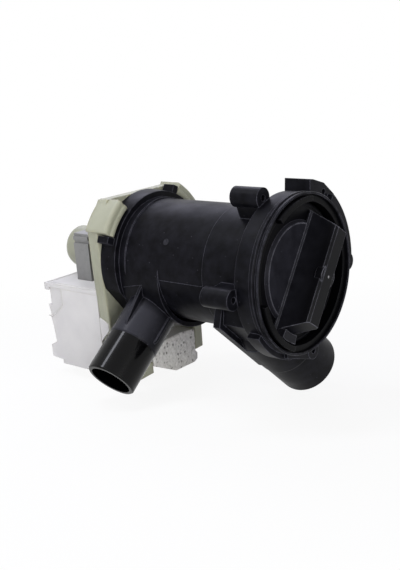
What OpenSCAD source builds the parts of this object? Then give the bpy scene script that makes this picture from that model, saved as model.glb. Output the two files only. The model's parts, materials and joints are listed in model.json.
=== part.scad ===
// Washer drain pump with a front lint filter. One dark moulding holds the filter tube, the front
// collar, the inlet, the outlet and the pump chamber. A screw cap with a lint filter closes its front
// and a synchronous motor with a sealed rotor can twists onto its back.
// The pump axis runs along Y, the cap faces -Y and +Z is up. The origin is on the axis, in the plane
// of the screw faces of the two side bosses. Clock angles are seen from the front, from +X over +Z.

/* [Filter tube] */
// Outer diameter of the filter tube
tube_d = 78; // [76:1:80]
// Wall of the tube, the collar seat and the pump chamber
tube_wall = 3; // [2.4:0.1:3.6]
// From the boss plane to the front of the motor flange
tube_len = 102.6; // [98:0.2:108]
// Length of the slightly fuller sump stretch behind the collar
sump_len = 33; // [31:1:40]
// How much fuller the sump stretch is, in radius
sump_step = 0.5; // [0.3:0.1:0.8]

/* [Collar] */
// Outer diameter of the collar round the cap
collar_d = 97.4; // [96.8:0.2:97.8]
// Outer diameter of the collar's front lip
lip_d = 98.4; // [98:0.1:98.8]
// How far the front lip stands in front of the boss plane
collar_front = 13.6; // [13:0.1:14.4]
// How far the collar runs behind the boss plane
collar_back = 2.3; // [1.8:0.1:3]
// Bore of the collar's mouth, which takes the cap's flange
mouth_d = 87; // [86.4:0.1:87.6]
// Depth of the cap's seat behind the front lip
seat_depth = 10.2; // [9.8:0.1:10.6]
// How far the two guard walls stand in front of the lip
guard_h = 4.6; // [3:0.2:6]

/* [Fixing bosses] */
// Diameter of the circle that the side bosses lie on
boss_circle_d = 103; // [101:0.5:105]
// Diameter of a side boss
boss_d = 12.5; // [11:0.5:13.5]
// Length of a side boss
boss_len = 20; // [16:1:24]
// Pilot hole for the fixing screws
screw_d = 3.8; // [3:0.1:4.5]
// Depth of a side boss's pilot hole
screw_depth = 14; // [10:1:15]

/* [Inlet pipe] */
// Outer diameter of the inlet pipe
inlet_d = 41.4; // [40:0.2:42]
// Wall of the inlet pipe
inlet_wall = 4.2; // [3.8:0.1:5]
// Clock angle of the inlet pipe
inlet_angle = -36; // [-40:1:-32]
// Distance of the inlet's axis from the pump axis
inlet_offset = 28.3; // [27:0.1:29]
// Place of the inlet's axis along the pump
inlet_y = 15; // [14.8:0.1:17]
// Length of the inlet pipe from the pump's middle
inlet_reach = 79.3; // [74:0.1:86]

/* [Outlet spigot] */
// Outer diameter of the outlet spigot
outlet_d = 32.6; // [31:0.2:34]
// Wall of the outlet spigot
outlet_wall = 2.8; // [2.4:0.1:3.4]
// Clock angle of the outlet spigot
outlet_angle = 224.3; // [220:0.1:228]
// Distance of the outlet's axis from the pump axis
outlet_offset = 6; // [4:0.5:8]
// Distance of the outlet's axis in front of the motor flange
outlet_setback = 14.3; // [13.5:0.1:15]
// Length of the outlet spigot from the pump's middle
outlet_reach = 94.9; // [88:0.1:100]

/* [Pump chamber and motor flange] */
// Length of the pump chamber in front of the motor flange
chamber_len = 33.1; // [32:0.1:35]
// How far the volute's middle lies off the pump axis
volute_shift = 5.5; // [4:0.5:7]
// Clock angle towards which the volute bulges
volute_angle = 262; // [256:1:268]
// Diameter of the suction eye between filter and pump chamber
eye_d = 28; // [22:1:32]
// Wall of the motor flange, which takes the pump seal
flange_wall = 9.1; // [8.8:0.1:9.5]
// Length of the motor flange
flange_len = 12.1; // [11:0.1:13]
// Bore of the motor flange
flange_bore_d = 71; // [70:0.2:71.6]

/* [Filter cap] */
// Length of the handle bar's ridge
handle_len = 60; // [54:1:62]
// Thickness of the handle bar
handle_t = 12.5; // [10:0.5:13]
// Height of the handle bar above the cap's face
handle_h = 20.9; // [18:0.1:24]
// Lean of the handle bar from upright
handle_lean = 29; // [20:1:40]
// Thickness of the cap's flange
cap_flange_t = 4.3; // [4:0.1:4.8]
// Length of the cap's skirt behind its flange
skirt_len = 8; // [7:0.1:10]
// Section of the cap's sealing ring
seal_section = 3; // [2.6:0.1:3.2]
// Length of the lint filter behind the cap's flange
filter_len = 64; // [56:1:66]

/* [Motor] */
// Roll of the motor about the pump axis
motor_roll = 6; // [0:1:10]
// Outer diameter of the rotor can
can_d = 29.8; // [29:0.2:30.4]
// Wall of the rotor can
can_wall = 1.5; // [1.2:0.1:1.8]
// Length of the rotor can behind the motor flange
can_len = 69.1; // [68.8:0.1:74]
// Width of the laminated core
core_w = 50; // [48:0.5:51]
// Thickness of the laminated stack
core_t = 14.5; // [13:0.5:15.5]
// Width of a leg of the core
leg_w = 13.5; // [12.5:0.5:14]
// Height of the core's poles above the pump axis
core_top = 16; // [14:0.5:18]
// Depth of the core's yoke below the pump axis
core_drop = 76; // [74:0.5:77]
// From the back of the motor flange to the core
core_setback = 32.3; // [31:0.1:33]
// Length of the coil cover behind the motor flange
cover_len = 63.3; // [62.8:0.1:66]
// Width of the coil cover
cover_w = 84; // [83:0.5:86]
// Thickness of the coil cover's walls
cover_wall = 1.8; // [1.4:0.1:2]
// Height of the coil cover's rim below the pump axis
cover_top = 20; // [19:0.5:21]
// Depth of the coil cover's sides below the pump axis
cover_drop = 75.5; // [75:0.5:77]

/* [Rotor and impeller] */
// Diameter of the rotor shaft
shaft_d = 4; // [3.6:0.1:4.4]
// Diameter of the rotor magnet
magnet_d = 24.8; // [22:0.2:25.2]
// Free space between the rotor and each thrust washer
rotor_end_gap = 2.8; // [0.5:0.1:4]
// Diameter across the impeller's blades
impeller_d = 46; // [40:1:50]
// Length of the impeller's blades
blade_len = 22; // [18:1:23]
// Thickness of an impeller blade
blade_t = 2.4; // [2:0.1:3]
// Number of impeller blades
blade_count = 4; // [3:1:6]

/* [Clearances] */
// Gap between bodies that pass each other, and round seated pieces
fit_gap = 0.3; // [0.2:0.05:0.35]
// Radial gap of the shaft in its bushes
running_gap = 0.05; // [0.02:0.01:0.09]

/* [Hidden] */
$fn = 96;

// Places along the pump axis
lip_y = -collar_front;
seat_y = lip_y + seat_depth;
cap_back_y = seat_y - fit_gap;
cap_front_y = cap_back_y - cap_flange_t;
flange_y = tube_len;
plate_y = flange_y + flange_len;
chamber_y = flange_y - chamber_len;
outlet_y = flange_y - outlet_setback;
core_y = plate_y + core_setback;
can_end_y = plate_y + can_len;

// Housing
tube_r = tube_d / 2;
bore_r = tube_r - tube_wall;
mouth_r = mouth_d / 2;
collar_r = collar_d / 2;
lip_r = lip_d / 2;
lip_band = 2;
lip_edge = 2;
collar_edge = 1.5;
guard_inset = 0.5;
guard_spans = [[88, 131], [196, 251]];
boss_angles = [116.5, 191];
boss_r = boss_circle_d / 2;
boss_web_t = 9;
ear_angles = [1, 284];
ear_r = 51.3;
ear_d = 11;
ear_len = 8;
ear_y = lip_y + 0.4;
ear_hole_depth = 7;
ear_web_x = -15;
side_web_span = [4, 54];
side_web_r = ear_r + 4.4;
block_front = -8.5;
block_len = 18.5;
block_outline = [[12.7, 38], [36.5, 37.8], [39.5, 40.7], [39.4, 44.7], [27.7, 52.3], [15.8, 55.1],
    [12.7, 55.3]];
block_hole = [27.5, 46.8];
block_hole_depth = 12;
apron_span = [219, 262];
apron_out = 3.8;
apron_y = [-10.6, -2];
partition_t = 3;
volute_r = tube_r - 0.5;
flange_draft = 0.4;
flange_d = flange_bore_d + 2 * flange_wall;
neck_ring_len = 5;
neck_ring_rise = 0.9;
neck_ring_span = [-20, 207];
lug_angles = [162, 68, -26];
lug_w = 4.5;
lug_out = 5;
lug_front = 2.2;
lug_back = 0.5;
gasket_land = 2.5;
gasket_in_r = flange_bore_d / 2 + gasket_land;
gasket_w = 3;
flange_flat_r = gasket_in_r + gasket_w + 0.8;
gasket_t = 2.4;
inlet_r = inlet_d / 2;
inlet_root = 16;
pipe_step = 0.4;
inlet_plain_len = 30;
inlet_mouth_len = 45;
gusset_y = [inlet_y + 1.5, inlet_y + 6.5];
gusset_x = [-17, 42];
gusset_root = [-28, -26];
gusset_low = inlet_offset + inlet_r + pipe_step;
sump_block_y = collar_back - 3.6;
sump_block_in = 3.4;
outlet_r = outlet_d / 2;
outlet_plain_len = 27.1;
outlet_rib_t = 2;
// Ribs along the outlet's root: how far their corners stand out, and how far along the outlet they lie
front_rib = [[1.6, 36], [1.6, 61], [0.6, 63]];
upper_rib = [[8, 33], [1.6, 60], [0.6, 62]];
upper_rib_turn = -8;
rim_bevel = 0.8;

// Cap and filter
cap_r = mouth_r - fit_gap;
cap_face_r = 30.5;
cap_face_h = 1.8;
cap_face_y = cap_front_y - cap_face_h;
cap_bevel = 0.6;
skirt_r = bore_r - fit_gap;
skirt_wall = 3;
ridge_y = cap_face_y - handle_h;
handle_flare = 8.5;
handle_edge = 1.5;
handle_foot = 1;
pad_d = handle_t + 1.8;
pad_y = [0.4, 5];
lock_r = [37, cap_r - cap_bevel - 0.2];
lock_half = 9.5;
lock_y = lip_y - guard_h + 0.8;
seal_r = (bore_r + mouth_r) / 2 - 0.4;
seal_groove = seal_section / 2 + fit_gap;
filter_r = skirt_r - skirt_wall - fit_gap;
filter_wall = 2.4;
filter_ring_len = 9.5;
filter_bar_w = 3;
filter_bars = [for (a = [-20:20:220]) a];
filter_end_t = 3;
filter_slats = [-16, 0, 16];

// Motor plate
plate_t = 3.5;
shield = [[-29, -84.5], [44, -79.5], [44.5, -8], [45, 26], [32.5, 43.5], [-32.5, 43.5], [-45, 26],
    [-44, -8], [-41, -50], [-38, -64]];
window_top = -48;
rim_wall = 2.5;
rim_len = 9.8;
hook_r = [flange_d / 2 + fit_gap, flange_d / 2 + 8.6];
hook_front = 9.8;
hook_round = 2;
hook_span = 27;
hook_lead = 4;
hook_back = 1.2;
rim_back = 0.6;
spigot_len = 7;
spigot_wall = 2.5;
plate_ribs = 8;
plate_rib_t = 2;
plate_rib_r = 41.5;
frame_front = 4.7;
frame_leg_w = 8;
frame_gap = [-10, 36];
can_r = can_d / 2;
can_bore_r = can_r - can_wall;
can_end_t = 2;
can_round = 3;

// Shaft bearings, from the pump chamber backwards
bearing_flange_t = 3.2;
bearing_flange_r = 19;
bearing_spigot_len = 12.5;
bush_len = 8;
bush_r = 4.5;
ring_t = 2;
ring_r = bush_r + ring_t;
seat_wall = 2;
lip_seal_len = 4.5;
shaft_r = shaft_d / 2;
shaft_hole_r = shaft_r + running_gap;
washer_t = 1;
washer_r = 5;
front_bush_y = plate_y + bearing_spigot_len - bush_len;
rear_bush_y = can_end_y - can_end_t - bush_len;
hub_r = 4.5;
hub_over = 1.2;
magnet_y = front_bush_y + bush_len + fit_gap + washer_t + rotor_end_gap + hub_over;
magnet_len = rear_bush_y - fit_gap - washer_t - rotor_end_gap - hub_over - magnet_y;

// Impeller and its lost-motion drive
blade_y = plate_y - bearing_flange_t - blade_len - 4;
impeller_wall = 2;
drum_r = 12;
drum_in_r = drum_r - impeller_wall;
drum_end_y = blade_y + blade_len;
nose_len = 5;
nose_r = 4.5;
nose_tip_t = 2;
stop_angle = 90;
stop_half = 15;
buffer_span = 15;
buffer_in_r = 4.6;
dog_hub_r = 3.8;
dog_span = 50;
dog_rest_gap = 2;
dog_len = 12;
dog_y = blade_y + impeller_wall + 2;
shaft_front_y = blade_y - nose_len + nose_tip_t + fit_gap;
shaft_end_y = can_end_y - can_end_t - 0.5;

// Core, coils and cover
leg_in = core_w / 2 - leg_w;
yoke_h = 14;
// Grooves across the poles' outer faces: from and to, below their top
pole_grooves = [[-1, 1.8], [4.5, 6.6]];
pole_groove_depth = 1;
core_bore_r = can_r + fit_gap;
bobbin_wall = 1.2;
bobbin_flange_t = 3;
bobbin_low_t = 2.4;
bobbin_drop = core_drop - yoke_h - 1;
bobbin_gap = 0.2;
bobbin_low_half = 20;
coil_t = 6.4;
coil_round = 4;
core_mid_y = core_y + core_t / 2;
cover_front_y = plate_y + rim_len;
cover_back_y = plate_y + cover_len;
lid_lip = 2;
lid_hole_d = 1.8;
lid_hole_in = 2.4;
lid_hole_depth = 2;
// Steps down the cover's back: how far in from the lids' edge, and how far below the pump axis
cover_back_steps = [[4.5, 33], [1.3, 33], [5, 48.7], [6.3, 60], [0.3, 63], [0.3, 71.7], [11, 72.6]];
cover_waist_in = cover_back_steps[3][0];
keel_w = 57;
keel_drop = 80;
keel_len = 40;
nose = [[-9.2, -64], [-9.2, -78.5], [13, -89], [33.5, -89], [36.8, -87.3], [37.3, -83], [35.2, -80.6],
    [35.2, -64], [20, -62.5]];
nose_front_y = plate_y - frame_front;
panel_depth = 0.9;
panel = [[-16.5, -20], [-16.3, -31.6], [-5.4, -40.5], [1, -40.5], [1, -20]];
tab_w = 6.3;
tab_t = 0.8;
tab_len = 18;
tab_hold = 8;
tab_start = cover_w / 2 - tab_hold;
tab_pitch = 16;
cutout_size = [14, 4.5, 18];
cutout_low = 52;

// Colours, as photographed
dark_plastic = [0.11, 0.11, 0.13];
ivory = [0.88, 0.89, 0.79];
coil_white = [0.93, 0.92, 0.94];
sheet_steel = [0.58, 0.58, 0.60];
soft_rubber = [0.16, 0.16, 0.16];

// A round bar along the pump axis
module rod(r, from, to) {
    translate([0, from, 0]) rotate([-90, 0, 0]) cylinder(r = r, h = to - from);
}

// A round tube along the pump axis
module tube(r_out, r_in, from, to) {
    difference() {
        rod(r_out, from, to);
        rod(r_in, from - 1, to + 1);
    }
}

// A stretch of a ring about the pump axis, between two clock angles
module sector(r_in, r_out, from, to, a1, a2) {
    translate([0, from, 0]) rotate([-90, -a2, 0])
        rotate_extrude(angle = a2 - a1) translate([r_in, 0]) square([r_out - r_in, to - from]);
}

// Turns what is built at +X to a clock angle
module clock(angle) rotate([0, -angle, 0]) children();

// A profile of radius and place along the axis, turned about the pump axis
module turned(points) rotate([-90, 0, 0]) rotate_extrude() polygon(points);

// An outline of x and z, drawn along the pump axis
module slab(from, to) translate([0, to, 0]) rotate([90, 0, 0]) linear_extrude(to - from) children();

// The motor's own upright frame
module in_motor() clock(motor_roll) children();

// The tube's front end: collar with its lip, bevelled back edge, guard walls and lower apron
module collar() {
    band_y = lip_y + lip_edge + lip_band;
    turned([[bore_r, lip_y], [lip_r - lip_edge, lip_y], [lip_r, lip_y + lip_edge], [lip_r, band_y],
        [collar_r, band_y + lip_r - collar_r], [collar_r, collar_back - collar_edge],
        [collar_r - collar_edge, collar_back], [bore_r, collar_back]]);
    for (s = guard_spans)
        sector(mouth_r - 1, lip_r - lip_edge - guard_inset, lip_y - guard_h, lip_y + 1, s[0], s[1]);
    sector(collar_r - 1, collar_r + apron_out, apron_y[0], apron_y[1], apron_span[0], apron_span[1]);
}

// A screw boss beside the tube, with the web that ties it to the collar
module side_boss(angle) {
    clock(angle) {
        translate([boss_r, 0, 0]) rod(boss_d / 2, 0, boss_len);
        translate([bore_r + 1, 0, -boss_web_t / 2]) cube([boss_r - bore_r - 1, boss_len - 2, boss_web_t]);
    }
}

// A small ear on the collar's lip
module front_ear(angle) {
    clock(angle) {
        translate([ear_r, 0, 0]) rod(ear_d / 2, ear_y, ear_y + ear_len);
        translate([mouth_r + 1, ear_y, -ear_d / 2]) cube([ear_r - mouth_r - 1, ear_len, ear_d]);
    }
}

// The web along the collar between the top block and the right ear
module side_web() {
    sector(collar_r - 1, side_web_r, ear_y + 0.5, ear_y + ear_len - 0.5,
        side_web_span[0], side_web_span[1]);
}

// The web that runs from the lower ear to the apron, under the lip
module ear_web(angle) {
    x = ear_r * cos(angle);
    z = ear_r * sin(angle);
    slab(ear_y + 0.3, ear_y + ear_len - 0.3)
        polygon([[x - 1.5, z - ear_d / 2 + 0.3], [x, -mouth_r], [ear_web_x, -mouth_r],
            [ear_web_x, -lip_r]]);
}

// The flat-topped fixing block at the collar's upper right
module top_block() {
    slab(block_front, block_front + block_len) polygon(block_outline);
}

// The pump chamber bulges out of the tube on the outlet's side
module volute(r, from, to) {
    clock(volute_angle) translate([volute_shift, 0, 0]) rod(r, from, to);
}

// The flange that the motor twists onto, with its flat and its bayonet lugs
module motor_flange() {
    difference() {
        turned([[bore_r, flange_y], [flange_d / 2 - 2 * flange_draft, flange_y],
            [flange_d / 2, plate_y - 2], [flange_d / 2, plate_y], [bore_r, plate_y]]);
        clock(outlet_angle) translate([flange_flat_r, flange_y - 1, -flange_d / 2])
            cube([flange_d, flange_len + 2, flange_d]);
    }
    for (a = lug_angles)
        clock(a) translate([flange_d / 2 - 3, flange_y + lug_front, -lug_w / 2])
            cube([3 + lug_out, flange_len - lug_front - lug_back, lug_w]);
}

// A pipe along +Z from a root: a slightly fuller stretch, then the plain end that a hose goes over
module pipe_outside(r, root, reach, plain_len) {
    plain = reach - rim_bevel - plain_len;
    rotate_extrude() polygon([[0, root], [r + pipe_step, root], [r + pipe_step, plain - 1], [r, plain],
        [r, reach - rim_bevel], [r - rim_bevel, reach], [0, reach]]);
}

// A rib along the outlet, from the pipe's middle out to its corners
module outlet_rib(turn, corners) {
    rotate([90, 0, turn]) translate([0, 0, -outlet_rib_t / 2]) linear_extrude(outlet_rib_t)
        polygon([[0, corners[0][1]], for (c = corners) [outlet_r + c[0], c[1]], [0, corners[2][1]]]);
}

// The outlet: a spigot with a plain end for the hose and two ribs along its root
module outlet_outside() {
    clock(outlet_angle) translate([0, outlet_y, outlet_offset]) rotate([0, 90, 0]) {
        pipe_outside(outlet_r, 0, outlet_reach, outlet_plain_len);
        outlet_rib(-90, front_rib);
        outlet_rib(upper_rib_turn, upper_rib);
    }
}

// The inlet: a wide pipe that leaves the tube's underside off centre, with a rounded root, a gusset along
// its underside and the block that joins them to the collar
module inlet_outside() {
    clock(inlet_angle) {
        translate([0, inlet_y, -inlet_offset]) rotate([0, 90, 0]) {
            pipe_outside(inlet_r, inlet_root, inlet_reach, inlet_plain_len);
            translate([0, 0, inlet_root]) sphere(r = inlet_r);
        }
        slab(gusset_y[0], gusset_y[1])
            polygon([gusset_root, [gusset_x[0], -gusset_low], [gusset_x[1] - 3, -gusset_low],
                [gusset_x[1], 3 - gusset_low], [gusset_x[1], -inlet_offset]]);
        slab(sump_block_y, gusset_y[0] + 1)
            polygon([gusset_root, [gusset_x[0] + sump_block_in / 2, sump_block_in - gusset_low],
                [inlet_root, sump_block_in - gusset_low], [inlet_root, -inlet_offset]]);
    }
}

module housing_outside() {
    rod(tube_r, seat_y, flange_y + 1);
    rod(tube_r + sump_step, 0, sump_len);
    collar();
    for (a = boss_angles) side_boss(a);
    for (a = ear_angles) front_ear(a);
    ear_web(ear_angles[1]);
    side_web();
    top_block();
    volute(volute_r, chamber_y, flange_y + 1);
    sector(tube_r - 1, tube_r + neck_ring_rise, flange_y - neck_ring_len, flange_y + 1,
        neck_ring_span[0], neck_ring_span[1]);
    motor_flange();
    outlet_outside();
    inlet_outside();
}

module housing_inside() {
    rod(mouth_r, lip_y - guard_h - 1, seat_y);
    rod(bore_r, seat_y - 1, chamber_y - partition_t);
    rod(eye_d / 2, chamber_y - partition_t - 1, chamber_y + 1);
    rod(bore_r, chamber_y, flange_y);
    volute(volute_r - tube_wall, chamber_y, flange_y);
    rod(flange_bore_d / 2, flange_y - 1, plate_y + 1);
    tube(gasket_in_r + gasket_w + fit_gap, gasket_in_r - fit_gap, plate_y - gasket_t, plate_y + 1);
    clock(outlet_angle) translate([bore_r / 2, outlet_y, outlet_offset]) rotate([0, 90, 0])
        cylinder(r = outlet_r - outlet_wall, h = outlet_reach);
    clock(inlet_angle) translate([inlet_root, inlet_y, -inlet_offset]) rotate([0, 90, 0]) {
        cylinder(r = inlet_r - inlet_wall - pipe_step, h = inlet_reach - inlet_root);
        translate([0, 0, inlet_reach - inlet_root - inlet_mouth_len])
            cylinder(r = inlet_r - inlet_wall, h = inlet_mouth_len + 1);
        sphere(r = inlet_r - inlet_wall - pipe_step);
    }
    for (a = boss_angles)
        clock(a) translate([boss_r, 0, 0]) rod(screw_d / 2, -1, screw_depth);
    for (a = ear_angles)
        clock(a) translate([ear_r, 0, 0]) rod(screw_d / 2, ear_y - 1, ear_y + ear_hole_depth);
    translate([block_hole[0], 0, block_hole[1]])
        rod(screw_d / 2, block_front - 1, block_front + block_hole_depth);
}

// Filter housing: the one large moulding
module filter_housing() {
    color(dark_plastic) difference() {
        housing_outside();
        housing_inside();
    }
}

// The handle bar: a tall fin with sloping ends, bevelled ridge, spread foot and a round pad
module handle_bar() {
    half = handle_len / 2;
    side = handle_t / 2;
    clock(90 - handle_lean) {
        intersection() {
            translate([0, 0, handle_t]) rotate([180, 0, 0]) linear_extrude(2 * handle_t)
                polygon([[-half - handle_flare, 0.5 - cap_front_y],
                    [half + handle_flare, 0.5 - cap_front_y], [half, -ridge_y], [-half, -ridge_y]]);
            translate([-handle_len, 0, 0]) rotate([90, 0, 90]) linear_extrude(2 * handle_len)
                polygon([[cap_front_y + 0.5, -side - handle_foot], [cap_face_y, -side - handle_foot],
                    [cap_face_y - handle_foot, -side], [ridge_y + handle_edge, -side],
                    [ridge_y, handle_edge - side], [ridge_y, side - handle_edge],
                    [ridge_y + handle_edge, side], [cap_face_y - handle_foot, side],
                    [cap_face_y, side + handle_foot], [cap_front_y + 0.5, side + handle_foot]]);
        }
        rod(pad_d / 2, ridge_y + pad_y[0], ridge_y + pad_y[1]);
    }
}

// Filter cap: flange with a raised round face, handle bar, lock block and hollow skirt
module filter_cap() {
    lock = 270 - handle_lean;
    color(dark_plastic) {
        difference() {
            turned([[0, cap_face_y], [cap_face_r - 0.6, cap_face_y], [cap_face_r, cap_front_y],
                [cap_r - cap_bevel, cap_front_y], [cap_r, cap_front_y + cap_bevel], [cap_r, cap_back_y],
                [skirt_r, cap_back_y], [skirt_r, cap_back_y + skirt_len],
                [skirt_r - skirt_wall, cap_back_y + skirt_len], [skirt_r - skirt_wall, cap_back_y],
                [0, cap_back_y]]);
            tube(seal_r + seal_groove, seal_r - seal_groove,
                cap_back_y - seal_section - fit_gap, cap_back_y + 1);
        }
        handle_bar();
        sector(lock_r[0], lock_r[1], lock_y, cap_front_y + 0.5, lock - lock_half, lock + lock_half);
    }
}

// Cap seal: an O-ring between the cap's flange and its seat
module cap_seal() {
    color(soft_rubber) translate([0, cap_back_y - seal_section / 2, 0]) rotate([-90, 0, 0])
        rotate_extrude() translate([seal_r, 0]) circle(d = seal_section);
}

// Lint filter: a cage that clips into the cap's skirt, open towards the inlet
module lint_filter() {
    filter_end_y = cap_back_y + filter_len;
    color(dark_plastic) {
        tube(filter_r, filter_r - filter_wall, cap_back_y, cap_back_y + filter_ring_len);
        tube(filter_r, filter_r - filter_wall, filter_end_y - filter_end_t, filter_end_y);
        for (a = filter_bars)
            clock(a) translate([filter_r - filter_wall, cap_back_y + 1, -filter_bar_w / 2])
                cube([filter_wall - 0.2, filter_len - 2, filter_bar_w]);
        intersection() {
            rod(filter_r - 1, filter_end_y - filter_end_t + 0.5, filter_end_y - 0.5);
            for (z = filter_slats)
                translate([-filter_r, filter_end_y - filter_end_t, z - filter_bar_w / 2])
                    cube([2 * filter_r, filter_end_t, filter_bar_w]);
        }
    }
}

// Moves every side of a convex outline inwards
function side_normal(p, q) = [q[1] - p[1], p[0] - q[0]] / norm(q - p);
function inset(p, d) = [for (i = [0:len(p) - 1])
    let (before = p[(i + len(p) - 1) % len(p)], after = p[(i + 1) % len(p)],
        m = side_normal(before, p[i]), n = side_normal(p[i], after))
    p[i] - d * (m + n) / (1 + m * n)];

// The shield outline's lower opening, between its legs
module shield_window() {
    intersection() {
        polygon(inset(shield, frame_leg_w));
        translate([-cover_w, window_top - cover_w]) square([2 * cover_w, cover_w]);
    }
    translate([frame_gap[0], window_top - cover_w])
        square([frame_gap[1] - frame_gap[0], cover_w - frame_leg_w]);
}

// The ivory shield: a sheet that closes the pump chamber, its rim wall and two legs beside the coils
module plate_shield() {
    slab(plate_y, plate_y + plate_t) difference() {
        polygon(shield);
        shield_window();
    }
    slab(plate_y + 1, cover_front_y - rim_back) difference() {
        polygon(inset(shield, 0.4));
        polygon(inset(shield, rim_wall));
        shield_window();
    }
    difference() {
        slab(plate_y - frame_front, cover_front_y - 2 * rim_back) difference() {
            polygon(inset(shield, 0.2));
            shield_window();
            translate([-cover_w, window_top]) square(2 * cover_w);
        }
        rod(flange_d / 2 + lug_out + fit_gap, plate_y - frame_front - 1, plate_y + fit_gap);
    }
}

// The hooks that wrap the flange beside its lugs, with a rounded leading edge
module bayonet_hooks() {
    front = plate_y - hook_front;
    back = cover_front_y - hook_back;
    for (a = lug_angles)
        rotate([-90, hook_lead - a, 0]) rotate_extrude(angle = hook_span)
            polygon([[hook_r[0], front], [hook_r[1] - hook_round, front],
                [hook_r[1] - hook_round / 3, front + hook_round / 3], [hook_r[1], front + hook_round],
                [hook_r[1], back], [hook_r[0], back]]);
}

// The closed tube that the rotor runs in, with a rounded end
module rotor_can() {
    difference() {
        turned([[0, plate_y + 1], [can_r, plate_y + 1], [can_r, can_end_y - can_round],
            [can_r - can_round / 3, can_end_y - can_round / 3], [can_r - can_round, can_end_y],
            [0, can_end_y]]);
        rod(can_bore_r, plate_y, can_end_y - can_end_t);
    }
    tube(ring_r + seat_wall, ring_r, rear_bush_y, can_end_y - can_end_t + can_end_t / 4);
}

// Motor plate: closes the pump chamber and carries the rotor can, the hooks and the coils' frame
module motor_plate() {
    color(ivory) {
        difference() {
            union() {
                in_motor() plate_shield();
                tube(flange_bore_d / 2 - fit_gap, flange_bore_d / 2 - fit_gap - spigot_wall,
                    plate_y - spigot_len, plate_y + 1);
                in_motor() for (i = [0:plate_ribs - 1])
                    clock((i + 0.5) * 360 / plate_ribs)
                        translate([can_r - 0.5, plate_y + 1, -plate_rib_t / 2])
                            cube([plate_rib_r - can_r, rim_len - 2, plate_rib_t]);
                bayonet_hooks();
            }
            rod(can_bore_r, plate_y - 1, cover_front_y + 1);
        }
        rotor_can();
    }
}

// Pump seal: a flat ring in the flange's rear groove
module pump_seal() {
    color(soft_rubber) tube(gasket_in_r + gasket_w, gasket_in_r, plate_y - gasket_t, plate_y);
}

// Bearing cap: closes the can's mouth and holds the front bush
module bearing_cap() {
    color(ivory) difference() {
        union() {
            rod(bearing_flange_r, plate_y - bearing_flange_t, plate_y);
            rod(can_bore_r, plate_y - 1, plate_y + bearing_spigot_len);
        }
        rod(ring_r, front_bush_y, plate_y + bearing_spigot_len + 1);
        rod(ring_r - 1, plate_y - bearing_flange_t - 1, plate_y - bearing_flange_t + lip_seal_len);
        rod(shaft_r + 1.5, plate_y - bearing_flange_t - 2, plate_y + bearing_spigot_len);
    }
}

// Shaft seal: a rubber cup whose lip runs on the shaft
module shaft_seal() {
    y = plate_y - bearing_flange_t;
    color(soft_rubber) turned([[shaft_hole_r, y + 1], [shaft_hole_r, y + 1.6], [ring_r - 2.4, y + 3.4],
        [shaft_r + 1.8, y + 3.4], [shaft_r + 1.8, y + lip_seal_len], [ring_r - 1, y + lip_seal_len],
        [ring_r - 1, y], [ring_r - 2.4, y], [ring_r - 2.4, y + 1.6]]);
}

module bush(from) color("darkgoldenrod") tube(bush_r, shaft_hole_r, from, from + bush_len);

module bush_ring(from) color(soft_rubber) tube(ring_r, bush_r, from, from + bush_len);

// Front bush and its rubber ring, in the bearing cap
module front_bush() bush(front_bush_y);
module front_bush_ring() bush_ring(front_bush_y);

// Rear bush and its rubber ring, in the end of the rotor can
module rear_bush() bush(rear_bush_y);
module rear_bush_ring() bush_ring(rear_bush_y);

// Thrust washers: one at each end of the rotor, on the shaft
module thrust_washers() {
    color("gainsboro") {
        for (y = [front_bush_y + bush_len + fit_gap, rear_bush_y - fit_gap - washer_t])
            tube(washer_r, shaft_r, y, y + washer_t);
    }
}

// Rotor shaft: one ground rod from the rear bush to the impeller's nose
module rotor_shaft() color("silver") rod(shaft_r, shaft_front_y, shaft_end_y);

// Rotor hub: the moulded sleeve that ties the magnet to the shaft
module rotor_hub() {
    color("whitesmoke") difference() {
        union() {
            rod(hub_r, magnet_y - hub_over, magnet_y + magnet_len + hub_over);
            rod(magnet_d / 2 - 2, magnet_y - hub_over, magnet_y);
            rod(magnet_d / 2 - 2, magnet_y + magnet_len, magnet_y + magnet_len + hub_over);
        }
        rod(shaft_r, magnet_y - 5, magnet_y + magnet_len + 5);
    }
}

// Rotor magnet: a ferrite cylinder, magnetised across
module rotor_magnet() color("dimgray") tube(magnet_d / 2, hub_r, magnet_y, magnet_y + magnet_len);

// Drive dog: the shaft's one-lobed driver inside the impeller drum
module drive_dog() {
    start = stop_angle + stop_half + buffer_span + dog_rest_gap;
    color("whitesmoke") {
        tube(dog_hub_r, shaft_r, dog_y, dog_y + dog_len);
        sector(dog_hub_r - 0.5, drum_in_r - 0.6, dog_y, dog_y + dog_len, start, start + dog_span);
    }
}

// Impeller: a drum with straight blades, a nose that runs on the shaft and one inner stop
module impeller() {
    color(dark_plastic) {
        difference() {
            union() {
                turned([[0, blade_y - nose_len], [nose_r - 1, blade_y - nose_len],
                    [nose_r, blade_y - nose_len + 1.5], [nose_r, blade_y], [drum_r - 2, blade_y],
                    [drum_r, blade_y + 2], [drum_r, drum_end_y], [0, drum_end_y]]);
                for (i = [0:blade_count - 1])
                    clock(i * 360 / blade_count) translate([drum_r - 1, blade_y + 2, -blade_t / 2])
                        cube([impeller_d / 2 - drum_r + 1, blade_len - 2, blade_t]);
            }
            rod(drum_in_r, blade_y + impeller_wall, drum_end_y + 1);
            rod(shaft_hole_r, blade_y - nose_len + nose_tip_t, drum_end_y);
        }
        sector(buffer_in_r, drum_in_r + 0.5, blade_y + impeller_wall - 0.5, drum_end_y - impeller_wall,
            stop_angle - stop_half, stop_angle + stop_half);
    }
}

// Impeller cover: closes the drum behind the drive dog
module impeller_cover() {
    color(dark_plastic) tube(drum_in_r, shaft_r + 0.6, drum_end_y - impeller_wall, drum_end_y);
}

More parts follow.
